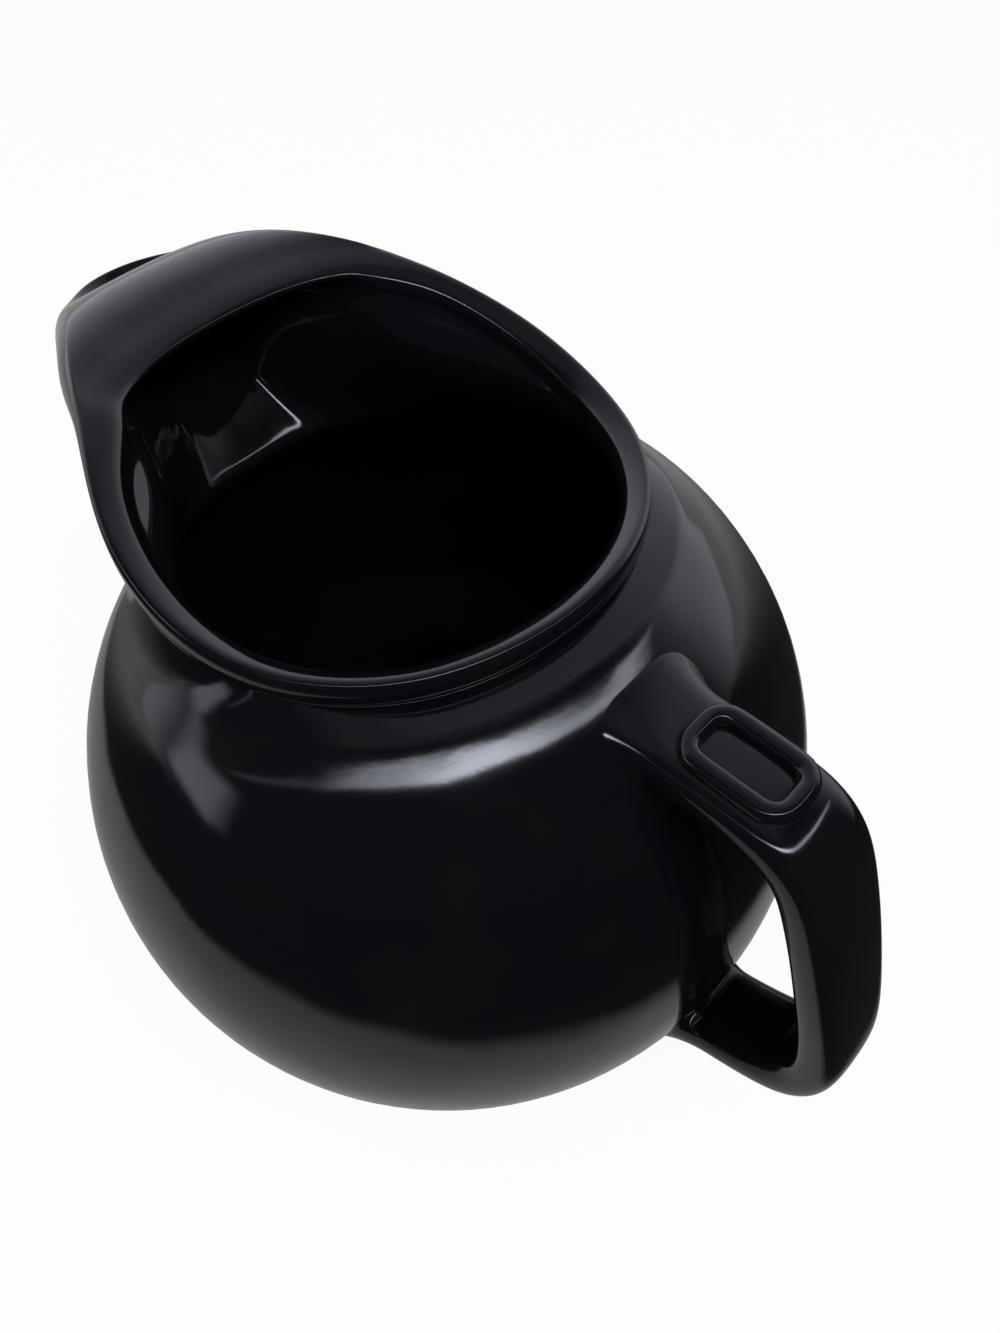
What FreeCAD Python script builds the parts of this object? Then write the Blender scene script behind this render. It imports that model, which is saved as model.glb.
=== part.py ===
import FreeCAD, Part

import math
import os

# A glazed ceramic ball jug with an ice guard over its pouring lip. Millimetres, +Z up.
# The origin is on the surface that the jug stands on, under the middle of its length.
# The spout points along -X, the handle along +X, and the jug is the same left and right of Y = 0.
# The jug is built as a potter builds it: a globe on a foot ring, a collar luted to its shoulder,
# a rim round the mouth, a beak drawn out at the front with a guard bridging it, and a strap
# handle with a thumb rest, luted on through an upper and a lower root.

Vector = FreeCAD.Vector

# Globe and foot
belly_radius = 88.0
belly_half_height = 90.5
body_wall = 5.0
floor_thickness = 6.0
base_cut = 13.5
neck_radius = 58.0
neck_tilt = 8.4
foot_height = 4.0
foot_width = 7.0
foot_setback = 1.2
foot_edge_round = 1.2

# Mouth outline, seen from above
mouth_draw = 3.5
mouth_offset = 12.3
spout_overhang = 19.4
spout_radius = 17.6
side_radius = 176.0

# Rim and collar
rim_rise = 14.0
crest_rise = 20.5
rim_band = 6.5
rim_width = 6.3
rim_land_drop = 2.4
rim_edge_round = 1.0
rim_inner_round = 1.5
rim_proud = 1.2
collar_wall = 5.2
# How far the collar draws in at its waist, as a share of its height, and how thin the tip is, as a share
waist_share = 0.15
tip_share = 0.6

# Height of the rim's outer edge, back to spout tip: shares of the mouth's length and of the crest's rise
crest_shares = (
    (0.0, 0.09),
    (0.08, 0.0),
    (0.28, 0.05),
    (0.49, 0.50),
    (0.62, 0.90),
    (0.70, 1.0),
    (0.78, 0.98),
    (0.87, 0.80),
    (0.94, 0.55),
    (1.0, 0.42),
)

# Ice guard and pouring slot
guard_depth = 34.0
guard_front_gap = 9.6
guard_top_round = 3.2
guard_low_round = 1.6

# Handle
handle_gap = 19.5
handle_top_drop = 4.5
handle_foot_drop = 27.0
handle_width = 22.0
handle_thickness = 11.0
handle_corner_round = 4.6
upper_root_length = 3.0
upper_root_sink = 9.0
upper_root_tuck = 4.5
upper_flare_wide = 11.0
upper_flare_tall = 7.0
lower_root_length = 7.0
lower_root_sink = 9.0
lower_flare_wide = 11.0
lower_flare_tall = 8.0

# Centreline of the strap: shares of the way out from the globe, and of the height between the roots
strap_top_shares = (
    (0.0, 1.0),
    (0.24, 1.0),
    (0.415, 0.991),
    (0.53, 0.975),
    (0.64, 0.915),
    (0.75, 0.78),
    (0.87, 0.59),
    (0.965, 0.41),
    (1.0, 0.286),
)
strap_low_shares = (
    (0.95, 0.19),
    (0.75, 0.105),
    (0.4, 0.045),
    (0.0, 0.0),
)

# Thumb rest: a raised ring round a shallow dish, on top of the strap
rest_length = 24.0
rest_width = 12.5
rest_rim = 3.0
rest_height = 1.2
rest_corner_round = 4.6
rest_setback = 10.0
rest_tilt = 3.0

# Reach of a cutting block past what it cuts
overrun = 20.0

# How many stretches half of the mouth is lofted through
mouth_stations = 16


# Sizes that follow from the driving ones
centre_height = foot_height + belly_half_height - base_cut
centre = Vector(0, 0, centre_height)
neck_rise = belly_half_height * math.sqrt(1 - (neck_radius / belly_radius) ** 2)
neck_height = centre_height + neck_rise
neck_slope = math.tan(math.radians(neck_tilt))
rim_low_height = neck_height + rim_rise
mouth_radius = neck_radius - mouth_draw
spout_reach = belly_radius + spout_overhang
mouth_back = mouth_radius - mouth_offset
mouth_length = mouth_back + spout_reach
guard_front = guard_front_gap - spout_reach
guard_back = guard_front + guard_depth
handle_top_rise = neck_rise - handle_top_drop
handle_reach = belly_radius + handle_gap + handle_thickness
axis_place = (spout_reach - handle_reach) / 2
diagonal = math.sqrt(0.5)
upward = Vector(0, 0, 1)
sideways = Vector(0, 1, 0)


def oval_reach(radius, half_height, rise):
    """How far the side of an oval of revolution stands from its axis, at a height over its centre."""
    return radius * math.sqrt(1 - (rise / half_height) ** 2)


def oval_solid(radius, half_height, flat_height):
    """An oval of revolution round the jug's axis, cut flat underneath at flat_height."""
    pole = centre + upward * half_height
    side = centre + Vector(radius, 0, 0)
    low = Vector(oval_reach(radius, half_height, centre_height - flat_height), 0, flat_height)
    if half_height > radius:
        oval = Part.Ellipse(pole, side, centre)
        arc = Part.ArcOfEllipse(oval, oval.parameter(pole), oval.parameter(low))
    else:
        oval = Part.Ellipse(side, pole, centre)
        arc = Part.ArcOfEllipse(oval, oval.parameter(low), oval.parameter(pole))
    foot = Vector(0, 0, flat_height)
    edges = Part.sortEdges([arc.toShape(), Part.makeLine(low, foot), Part.makeLine(foot, pole)])[0]
    return Part.Face(Part.Wire(edges)).revolve(Vector(0, 0, 0), upward, 360)


def slab(low_x, high_x):
    """A block between two distances along the jug, wider and taller than it."""
    half = belly_radius + overrun
    tall = rim_low_height + crest_rise + overrun
    return Part.makeBox(high_x - low_x, half + half, tall, Vector(low_x, -half, 0))


def globe_outside():
    """The globe without its hollow, cut at the tilted plane where the collar is luted on."""
    half = belly_radius + spout_reach
    blank = Part.makeBox(half + half, half + half, half, Vector(-half, -half, 0))
    blank.rotate(Vector(0, 0, 0), sideways, -neck_tilt)
    blank.translate(upward * neck_height)
    return oval_solid(belly_radius, belly_half_height, foot_height).cut(blank)


def make_body_globe():
    """The thrown globe: an oval shell with a flat floor, open at the tilted neck plane."""
    floor_height = foot_height + floor_thickness
    inside = oval_solid(belly_radius - body_wall, belly_half_height - body_wall, floor_height)
    return globe_outside().cut(inside)


def make_foot_ring():
    """The turned ring that the jug stands on."""
    outer = oval_reach(belly_radius, belly_half_height, belly_half_height - base_cut) - foot_setback
    ring = Part.makeCylinder(outer, foot_height).cut(Part.makeCylinder(outer - foot_width, foot_height))
    low_edges = [edge for edge in ring.Edges if edge.BoundBox.ZMax < foot_edge_round]
    return ring.makeFillet(foot_edge_round, low_edges)


def neck_ring_point(radius, half_height, share):
    """A point where the neck plane cuts an oval of revolution, share of half a turn from the back."""
    squeeze = 1 / radius**2 + (neck_slope / half_height) ** 2
    middle = -neck_rise * neck_slope / half_height**2 / squeeze
    spread = 1 - (neck_rise / half_height) ** 2 + squeeze * middle**2
    turn = math.pi * share
    x = middle + math.sqrt(spread / squeeze) * math.cos(turn)
    y = -radius * math.sqrt(spread) * math.sin(turn)
    return Vector(x, y, neck_height + neck_slope * x)


def mouth_arcs():
    """Half of the mouth's outline: back arc, hollow side arc and spout arc, each tangent to the next.
    Each row holds the arc's centre, its radius, its first and last bearing, and 1, or -1 if hollow."""
    back = Vector(-mouth_offset, 0, 0)
    front = Vector(spout_radius - spout_reach, 0, 0)
    apart = back.x - front.x
    to_back = side_radius + mouth_radius
    to_front = side_radius + spout_radius
    along = (to_front**2 - to_back**2 - apart**2) / (2 * apart)
    side = back + Vector(along, -math.sqrt(to_back**2 - along**2), 0)
    turn_back = math.atan2(side.y - back.y, side.x - back.x)
    turn_front = math.atan2(side.y - front.y, side.x - front.x)
    return (
        (back, mouth_radius, 0.0, turn_back, 1),
        (side, side_radius, turn_back + math.pi, turn_front + math.pi, -1),
        (front, spout_radius, turn_front, -math.pi, 1),
    )


def mouth_place(share):
    """The point of the mouth's outline, and its outward direction, share of the way from back to tip."""
    arcs = mouth_arcs()
    left = share * sum(radius * abs(end - start) for _, radius, start, end, _ in arcs)
    for middle, radius, start, end, side in arcs:
        length = radius * abs(end - start)
        if left <= length or end == -math.pi:
            bearing = start + (end - start) * left / length
            outward = Vector(math.cos(bearing), math.sin(bearing), 0)
            return middle + outward * radius, outward * side
        left -= length


def spline_through(points):
    curve = Part.BSplineCurve()
    curve.interpolate(points)
    return curve


def crest_curve(drop):
    """The rim's height seen from the side, lowered by drop."""
    low = rim_low_height - drop
    places = [(mouth_back - mouth_length * x, low + crest_rise * z) for x, z in crest_shares]
    return spline_through([Vector(x, 0, z) for x, z in places])


def under_crest(drop):
    """Everything below the rim's side profile, lowered by drop."""
    curve = crest_curve(drop)
    first = curve.StartPoint
    last = curve.EndPoint
    left = last.x - overrun
    right = first.x + overrun
    ahead = [last, Vector(left, 0, last.z), Vector(left, 0, 0)]
    corners = ahead + [Vector(right, 0, 0), Vector(right, 0, first.z), first]
    lines = [Part.makeLine(a, b) for a, b in zip(corners, corners[1:])]
    side = Part.Face(Part.Wire([curve.toShape()] + lines))
    half = belly_radius + overrun
    side.translate(sideways * -half)
    return side.extrude(sideways * (half + half))


def crest_height(x, curve):
    """Height of a side profile at a distance along the jug."""
    plumb = Part.Line(Vector(x, 0, 0), Vector(x, 0, 1))
    meet = curve.intersectCC(plumb)
    if meet:
        return meet[0].Z
    return curve.StartPoint.z if x > 0 else curve.EndPoint.z


def half_mouth_shares():
    """Stations round half of the mouth, closer together towards the back and the tip."""
    return [(1 - math.cos(math.pi * i / mouth_stations)) / 2 for i in range(mouth_stations + 1)]


def mouth_face():
    """The flat face inside the mouth's outline, its sides smooth through the stations."""
    side = Part.BSplineCurve()
    points = [mouth_place(share)[0] for share in half_mouth_shares()]
    side.interpolate(Points=points, InitialTangent=-sideways, FinalTangent=sideways)
    half = side.toShape()
    return Part.Face(Part.Wire([half, half.mirror(Vector(0, 0, 0), sideways)]))


def both_halves(sections):
    """A solid lofted through sections round the -Y half of the mouth, joined to its mirror image."""
    half = Part.makeLoft(sections, True, False)
    return half.fuse(half.mirror(Vector(0, 0, 0), sideways))


def thinning(share):
    """How thick the rim and its wall are at a station, against the back: they thin towards the tip."""
    return 1 - (1 - tip_share) * share**4


def collar_section(share, curve):
    """The collar's wall at one station: up the outside over the waist, and down the inside.
    It runs on past the rim's underside, to be cut off there."""
    edge, outward = mouth_place(share)
    spare = upward * rim_band
    outer_low = neck_ring_point(belly_radius, belly_half_height, share)
    inner_low = neck_ring_point(belly_radius - body_wall, belly_half_height - body_wall, share)
    outer_top = edge - outward * rim_proud + upward * crest_height(edge.x, curve)
    inner_top = outer_top - outward * (collar_wall * thinning(share))
    pinch = outward * (waist_share * (outer_top.z - outer_low.z))
    return Part.Wire([
        spline_through([outer_low, (outer_low + outer_top) / 2 - pinch, outer_top]).toShape(),
        Part.makeLine(outer_top, outer_top + spare),
        Part.makeLine(outer_top + spare, inner_top + spare),
        Part.makeLine(inner_top + spare, inner_top),
        spline_through([inner_top, (inner_low + inner_top) / 2 - pinch, inner_low]).toShape(),
        Part.makeLine(inner_low, outer_low),
    ])


def make_mouth_wall():
    """The wall from the globe's shoulder to the underside of the rim, all the way round."""
    curve = crest_curve(rim_band)
    raw = both_halves([collar_section(share, curve) for share in half_mouth_shares()])
    return raw.common(under_crest(rim_band))


def rim_section(share, curve):
    """The rim's section at one station: an upright outer face, a land that falls inward, rounded edges.
    It runs on past the rim's underside, to be cut off there."""
    edge, outward = mouth_place(share)
    top = edge + upward * crest_height(edge.x, curve)
    under = upward * (rim_band + rim_band)
    width = rim_width * thinning(share)
    outer_bend = top - (outward + upward) * rim_edge_round
    inner_bend = top - outward * (width - rim_inner_round) - upward * (rim_land_drop + rim_inner_round)
    outer_high = outer_bend + outward * rim_edge_round
    outer_mid = outer_bend + (outward + upward) * (rim_edge_round * diagonal)
    land_start = outer_bend + upward * rim_edge_round
    land_end = inner_bend + upward * rim_inner_round
    inner_mid = inner_bend + (upward - outward) * (rim_inner_round * diagonal)
    inner_high = inner_bend - outward * rim_inner_round
    return Part.Wire([
        Part.makeLine(outer_high - under, outer_high),
        Part.Arc(outer_high, outer_mid, land_start).toShape(),
        Part.makeLine(land_start, land_end),
        Part.Arc(land_end, inner_mid, inner_high).toShape(),
        Part.makeLine(inner_high, inner_high - under),
        Part.makeLine(inner_high - under, outer_high - under),
    ])


def make_rim():
    """The rim all the way round, seated on the collar."""
    curve = crest_curve(0)
    raw = both_halves([rim_section(share, curve) for share in half_mouth_shares()])
    return raw.cut(under_crest(rim_band))


def edge_middle(edge):
    return edge.valueAt((edge.FirstParameter + edge.LastParameter) / 2)


def lies_across(edge):
    """Whether an edge keeps one distance along the jug, as the guard's front and rear edges do."""
    box = edge.BoundBox
    return box.XLength < (box.YLength + box.ZLength) / 20


def guard_edges(plate, above):
    """The long edges of the guard's upper side, or of its lower side: rear and flanks above, rear below."""
    core = crest_curve(rim_band / 2)
    chosen = []
    for edge in plate.Edges:
        box = edge.BoundBox
        place = edge_middle(edge)
        behind = place.x > guard_back - rim_edge_round
        long = box.XLength + box.YLength > rim_edge_round
        if above and long and (behind or not lies_across(edge)) and place.z > crest_height(place.x, core):
            chosen.append(edge)
        if not above and long and behind and lies_across(edge) and place.z < crest_height(place.x, core):
            chosen.append(edge)
    return chosen


def make_ice_guard():
    """The bridge over the pouring lip: it follows the mouth's outline and the rim's rise,
    with rolled sides and a rolled edge towards the mouth."""
    plate = mouth_face().extrude(upward * (rim_low_height + crest_rise + overrun))
    plate = plate.common(slab(guard_front, guard_back)).common(under_crest(0)).cut(under_crest(rim_band))
    plate = plate.makeFillet(guard_top_round, guard_edges(plate, True))
    return plate.makeFillet(guard_low_round, guard_edges(plate, False))


def strap_centres():
    """The centreline of the strap, from the upper root to the lower one."""
    reach = handle_reach - handle_thickness / 2
    upper = oval_reach(belly_radius, belly_half_height, handle_top_rise) + upper_root_length
    lower = oval_reach(belly_radius, belly_half_height, handle_foot_drop) + lower_root_length
    foot = centre_height - handle_foot_drop
    tall = handle_top_rise + handle_foot_drop
    points = []
    for start, shares in ((upper, strap_top_shares), (lower, strap_low_shares)):
        for out, up in shares:
            points.append(Vector(start + (reach - start) * out, 0, foot + tall * up))
    return points


def strap_section(middle, along, wider, thicker):
    """A rounded oblong square to the strap's direction, wider and thicker than the strap as asked."""
    out = sideways.cross(along).normalize()
    flat_w = (handle_width + wider) / 2 - handle_corner_round
    flat_t = (handle_thickness + thicker) / 2 - handle_corner_round
    arcs = []
    for quarter, (s, o) in enumerate(((1, 1), (-1, 1), (-1, -1), (1, -1))):
        corner = middle + sideways * (s * flat_w) + out * (o * flat_t)
        bearings = [math.pi / 2 * (quarter + share) for share in (0, 0.5, 1)]
        turns = [sideways * math.cos(bearing) + out * math.sin(bearing) for bearing in bearings]
        arcs.append([corner + turn * handle_corner_round for turn in turns])
    edges = []
    for arc, following in zip(arcs, arcs[1:] + arcs[:1]):
        edges.append(Part.Arc(*arc).toShape())
        edges.append(Part.makeLine(arc[-1], following[0]))
    return Part.Wire(edges)


def make_handle_strap(route):
    """The strap: one rounded section drawn along its centreline, and fitted to the globe at its ends."""
    section = strap_section(route.valueAt(route.FirstParameter), route.tangentAt(route.FirstParameter), 0, 0)
    pull = Part.BRepOffsetAPI.MakePipeShell(Part.Wire(route))
    pull.setBiNormalMode(sideways)
    pull.add(section)
    pull.build()
    pull.makeSolid()
    return pull.shape().cut(globe_outside())


def make_root(start, along, length, tuck, wide, tall):
    """The root between the end of the strap and the globe, flaring as it goes in."""
    wires = []
    for share in (0, 0.5, 1):
        middle = start + along * (length * share) - upward * (tuck * share**2)
        wires.append(strap_section(middle, along, wide * share**2, tall * share**2))
    return Part.makeLoft(wires, True, False).cut(globe_outside())


def rest_pad(inset):
    """An upright pad with rounded corners, its top at Z = 0."""
    long = rest_length - inset - inset
    wide = rest_width - inset - inset
    pad = Part.makeBox(long, wide, handle_thickness, Vector(-long / 2, -wide / 2, -handle_thickness))
    corners = [edge for edge in pad.Edges if edge.BoundBox.ZLength > handle_thickness / 2]
    return pad.makeFillet(rest_corner_round - inset, corners)


def make_thumb_rest(seats):
    """The raised ring for the thumb, seated on the strap and the root under it."""
    ring = rest_pad(0).cut(rest_pad(rest_rim))
    ring.rotate(Vector(0, 0, 0), sideways, rest_tilt)
    top = centre_height + handle_top_rise + handle_thickness / 2 + rest_height
    ring.translate(Vector(belly_radius - rest_setback, 0, top))
    for seat in seats:
        ring = ring.cut(seat)
    return ring


def make_nodes():
    """Every piece of the jug, under its node's name. They are drawn round the globe's axis."""
    wall = make_mouth_wall()
    rim = make_rim()
    behind = slab(guard_back, belly_radius + overrun)
    ahead = slab(-spout_reach - overrun, guard_back)
    before_guard = slab(-spout_reach - overrun, guard_front)
    route = spline_through(strap_centres()).toShape()
    strap = make_handle_strap(route)
    start = route.valueAt(route.FirstParameter)
    along = -route.tangentAt(route.FirstParameter)
    length = upper_root_length + upper_root_sink
    upper_root = make_root(start, along, length, upper_root_tuck, upper_flare_wide, upper_flare_tall)
    start = route.valueAt(route.LastParameter)
    along = route.tangentAt(route.LastParameter)
    length = lower_root_length + lower_root_sink
    lower_root = make_root(start, along, length, 0, lower_flare_wide, lower_flare_tall)
    return {
        "body_globe": make_body_globe(),
        "foot_ring": make_foot_ring(),
        "neck_collar": wall.common(behind),
        "rim_lip": rim.common(behind),
        "spout_beak": wall.common(ahead).fuse(rim.common(before_guard)),
        "ice_guard": make_ice_guard(),
        "handle_strap": strap,
        "upper_handle_root": upper_root,
        "lower_handle_root": lower_root,
        "thumb_rest": make_thumb_rest((strap, upper_root, globe_outside())),
    }


if __name__ == "__main__":
    os.makedirs("parts", exist_ok=True)
    for name, shape in make_nodes().items():
        shape.translate(Vector(axis_place, 0, 0))
        print(name, shape.isValid(), len(shape.Solids), round(shape.Volume))
        shape.exportStep("parts/%s.step" % name)
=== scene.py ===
import math

import bmesh
import bpy
from mathutils import Matrix, Vector


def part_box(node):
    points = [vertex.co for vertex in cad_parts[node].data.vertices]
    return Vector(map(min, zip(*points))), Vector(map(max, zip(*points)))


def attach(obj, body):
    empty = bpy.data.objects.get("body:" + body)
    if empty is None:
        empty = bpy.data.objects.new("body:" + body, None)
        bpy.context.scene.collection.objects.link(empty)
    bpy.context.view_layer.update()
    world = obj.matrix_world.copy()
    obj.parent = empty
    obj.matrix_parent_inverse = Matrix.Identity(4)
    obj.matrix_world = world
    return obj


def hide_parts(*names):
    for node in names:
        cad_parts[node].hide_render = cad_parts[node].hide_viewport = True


bl_info = {
    "name": "Ball Jug",
    "version": (1, 0, 0),
    "blender": (4, 5, 0),
    "location": "3D View > Sidebar > Ball Jug",
    "description": "Dresses a glazed ball jug with an ice guard, a strap handle and a thumb rest",
    "category": "Add Mesh",
}

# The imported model, and its box before anything is dressed
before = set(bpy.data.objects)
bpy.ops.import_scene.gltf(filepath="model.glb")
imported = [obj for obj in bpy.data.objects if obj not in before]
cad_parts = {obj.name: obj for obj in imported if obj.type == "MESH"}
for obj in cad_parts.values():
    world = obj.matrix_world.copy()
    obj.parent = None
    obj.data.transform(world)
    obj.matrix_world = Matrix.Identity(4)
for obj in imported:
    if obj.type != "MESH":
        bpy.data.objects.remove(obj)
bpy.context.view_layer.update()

GLOBE_LOW, GLOBE_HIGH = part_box("body_globe")
GUARD_LOW, GUARD_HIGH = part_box("ice_guard")
BEAK_TIP_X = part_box("spout_beak")[0].x
REST_LOW, REST_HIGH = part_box("thumb_rest")
AXIS_X = (GLOBE_LOW.x + GLOBE_HIGH.x) / 2
MM = 0.001
ACROSS = Vector((0, 1, 0))
UP = Vector((0, 0, 1))

# Height of the rim's outer edge, back to tip: shares of the mouth's length and of the crest's rise
CREST_SHARES = (
    (0.0, 0.09),
    (0.08, 0.0),
    (0.28, 0.05),
    (0.49, 0.50),
    (0.62, 0.90),
    (0.70, 1.0),
    (0.78, 0.98),
    (0.87, 0.80),
    (0.94, 0.59),
    (1.0, 0.49),
)

# Centreline of the strap: shares of the way out from the globe, and of the height between the roots
STRAP_TOP_SHARES = (
    (0.0, 1.0),
    (0.24, 1.0),
    (0.415, 0.991),
    (0.53, 0.975),
    (0.64, 0.915),
    (0.75, 0.78),
    (0.87, 0.59),
    (0.965, 0.41),
    (1.0, 0.286),
)
STRAP_LOW_SHARES = (
    (0.95, 0.19),
    (0.75, 0.105),
    (0.4, 0.045),
    (0.0, 0.0),
)


def length(name, default, description):
    return bpy.props.FloatProperty(
        name=name, default=default, description=description, unit="LENGTH", precision=4)


def angle(name, degrees, description):
    return bpy.props.FloatProperty(
        name=name, default=math.radians(degrees), description=description, subtype="ANGLE")


def share(name, default, description):
    return bpy.props.FloatProperty(name=name, default=default, description=description, min=0, max=1)


def colour(name, default, description):
    return bpy.props.FloatVectorProperty(
        name=name, default=default, description=description, subtype="COLOR", size=3, min=0, max=1)


class JUG_PG_vessel(bpy.types.PropertyGroup):
    belly_radius: length("Belly radius", GLOBE_HIGH.x - AXIS_X, "Widest radius of the globe")
    belly_half_height: length("Belly half height", 0.0905, "Half of the globe's height, before it is cut")
    wall: length("Wall", 0.005, "Thickness of the globe's wall")
    floor: length("Floor", 0.006, "Thickness of the globe's floor")
    base_cut: length("Base cut", 0.0135, "How much of the globe is missing under its flat")
    neck_radius: length("Neck radius", 0.058, "Radius of the globe where its neck is cut, at the axis")
    neck_tilt: angle("Neck tilt", 8.4, "Slope of the neck's plane")
    mouth_radius: length("Mouth radius", 0.0545, "Radius of the back of the mouth's outline")
    mouth_offset: length("Mouth offset", 0.0123, "How far the mouth's round back lies ahead of the axis")
    spout_reach: length("Spout reach", AXIS_X - BEAK_TIP_X, "From the axis to the tip of the beak")
    spout_radius: length("Spout radius", 0.0176, "Radius of the beak's tip, seen from above")
    side_radius: length("Side radius", 0.176, "Radius of the hollow sides between mouth and tip")
    rim_rise: length("Rim rise", 0.014, "From the neck to the rim's lowest place")
    crest_rise: length("Crest rise", 0.0205, "From the rim's lowest place to the top of the guard")
    rim_band: length("Rim band", 0.0065, "Height of the rim's outer face")
    rim_width: length("Rim width", 0.0063, "Width of the rim's sloping land")
    tip_share: share("Tip share", 0.6, "How thick the rim is at the tip, against the back")
    guard_front: length("Guard front", GUARD_LOW.x - AXIS_X + 2.5 * MM, "Front edge of the ice guard")
    guard_back: length("Guard back", GUARD_HIGH.x - AXIS_X + 13 * MM, "Rolled rear edge of the ice guard")
    hood_swell: length("Hood swell", 0.0056, "How far the guard's rolled sides stand out under its top")
    hood_roll: length("Hood roll", 0.0125, "Depth of the roll at the guard's sides")
    land_reach: length("Land reach", 0.008, "How far behind the guard the rim's land starts to widen into it")
    land_growth: share("Land growth", 0.5, "How much wider the rim's land is where it meets the guard")
    guard_thickness: length("Guard thickness", 0.0065, "Height of the guard's rolled rear edge")


class JUG_PG_handle(bpy.types.PropertyGroup):
    gap: length("Finger gap", 0.0195, "From the belly to the strap's inner face")
    top_drop: length("Top drop", 0.0045, "From the neck's height, at the axis, down to the strap's upper run")
    foot_drop: length("Foot drop", 0.027, "From the globe's centre to the strap's lower end")
    width: length("Width", 0.022, "Width of the strap")
    thickness: length("Thickness", 0.011, "Thickness of the strap")
    upper_root: length("Upper root", 0.003, "Length of the straight stub at the upper root")
    lower_root: length("Lower root", 0.007, "Length of the straight stub at the lower root")
    upper_flare: length("Upper flare", 0.0042, "Radius of the fillet at the upper root")
    lower_flare: length("Lower flare", 0.0045, "Radius of the fillet at the lower root")
    rest_width: length("Thumb rest width", 0.0168, "Width of the thumb rest")
    rest_rim: length("Thumb rest rim", 0.0046, "Width of the thumb rest's raised rim")
    rest_height: length("Thumb rest height", 0.0017, "How far the thumb rest's rim stands up")
    rest_corner: length("Thumb rest corner", 0.0042, "Corner radius, at the middle of the rim")
    rest_tilt: angle("Thumb rest tilt", 3, "Slope of the thumb rest")


class JUG_PG_finish(bpy.types.PropertyGroup):
    glaze: colour("Glaze", (0.0026, 0.0030, 0.0042), "Colour of the black glaze")
    glaze_thin: colour("Thin glaze", (0.0060, 0.0056, 0.0062), "Colour where the glaze is thin")
    gloss: share("Gloss", 0.93, "Evenness of the glaze: one is a mirror")
    clay: colour("Clay", (0.19, 0.145, 0.11), "Colour of the bare foot")
    floor: colour("Floor", (0.86, 0.86, 0.86), "Colour of the floor and the backdrop")


# Shader maths

class Flow:
    """A shader value that can be used in sums."""

    def __init__(self, tree, socket):
        self.tree = tree
        self.socket = socket

    def sum(self, operation, *values):
        node = self.tree.nodes.new("ShaderNodeMath")
        node.operation = operation
        for place, value in enumerate(values):
            if isinstance(value, Flow):
                self.tree.links.new(value.socket, node.inputs[place])
            else:
                node.inputs[place].default_value = value
        return Flow(self.tree, node.outputs[0])

    def __add__(self, other):
        return self.sum("ADD", self, other)

    def __radd__(self, other):
        return self.sum("ADD", other, self)

    def __sub__(self, other):
        return self.sum("SUBTRACT", self, other)

    def __rsub__(self, other):
        return self.sum("SUBTRACT", other, self)

    def __mul__(self, other):
        return self.sum("MULTIPLY", self, other)

    def __truediv__(self, other):
        return self.sum("DIVIDE", self, other)

    def __pow__(self, other):
        return self.sum("POWER", self, other)

    def over(self, low, high):
        """0 below low, 1 above high, and smooth between them."""
        node = self.tree.nodes.new("ShaderNodeMapRange")
        node.interpolation_type = "SMOOTHSTEP"
        self.tree.links.new(self.socket, node.inputs["Value"])
        node.inputs["From Min"].default_value = low
        node.inputs["From Max"].default_value = high
        return Flow(self.tree, node.outputs["Result"])

    def largest(self, other):
        return self.sum("MAXIMUM", self, other)

    def sine(self):
        return self.sum("SINE", self)

    def absolute(self):
        return self.sum("ABSOLUTE", self)


class Recipe:
    """The node tree of a material or of the world."""

    def __init__(self, owner):
        owner.use_nodes = True
        self.tree = owner.node_tree
        self.tree.nodes.clear()

    def node(self, kind, settings=None, **values):
        """Adds a node: its settings first, then the values or flows of its sockets. Returns the node."""
        node = self.tree.nodes.new(kind)
        for name, value in (settings or {}).items():
            setattr(node, name, value)
        for name, value in values.items():
            socket = node.inputs[name.replace("_", " ")]
            if isinstance(value, Flow):
                self.tree.links.new(value.socket, socket)
            else:
                socket.default_value = value
        return node

    def flow(self, node, output=0):
        return Flow(self.tree, node.outputs[output])

    def noise(self, where, scale, detail=2.0):
        return self.flow(self.node("ShaderNodeTexNoise", None, Vector=where, Scale=scale, Detail=detail))

    def mix(self, factor, first, second):
        node = self.node("ShaderNodeMix", {"data_type": "RGBA"})
        sockets = {s.identifier: s for s in node.inputs}
        for name, value in (("Factor_Float", factor), ("A_Color", first), ("B_Color", second)):
            if isinstance(value, Flow):
                self.tree.links.new(value.socket, sockets[name])
            elif name == "Factor_Float":
                sockets[name].default_value = value
            else:
                sockets[name].default_value = (*value, 1)
        return Flow(self.tree, [s for s in node.outputs if s.identifier == "Result_Color"][0])

    def rays(self):
        """Whether a ray is a reflection's, and whether it is the camera's or one that came through glass."""
        kinds = self.node("ShaderNodeLightPath")
        seen = self.flow(kinds, "Is Camera Ray").largest(self.flow(kinds, "Is Transmission Ray"))
        return self.flow(kinds, "Is Glossy Ray"), seen

    def axes(self, place):
        """The three parts of a place or a direction."""
        node = self.node("ShaderNodeSeparateXYZ", None, Vector=place)
        return (self.flow(node, name) for name in "XYZ")


def opaque(rgb):
    return (rgb[0], rgb[1], rgb[2], 1)


# Heights of the glaze's relief, in metres, and the spacing of its throwing rings, in radians a metre
RIPPLE_HEIGHT = 0.0009
GRAIN_HEIGHT = 0.000012
RING_HEIGHT = 0.00012
PINHOLE_DEPTH = 0.00012
RING_SPACING = 900.0
RING_WANDER = 5.0
GLAZE_IOR = 1.52


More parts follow.
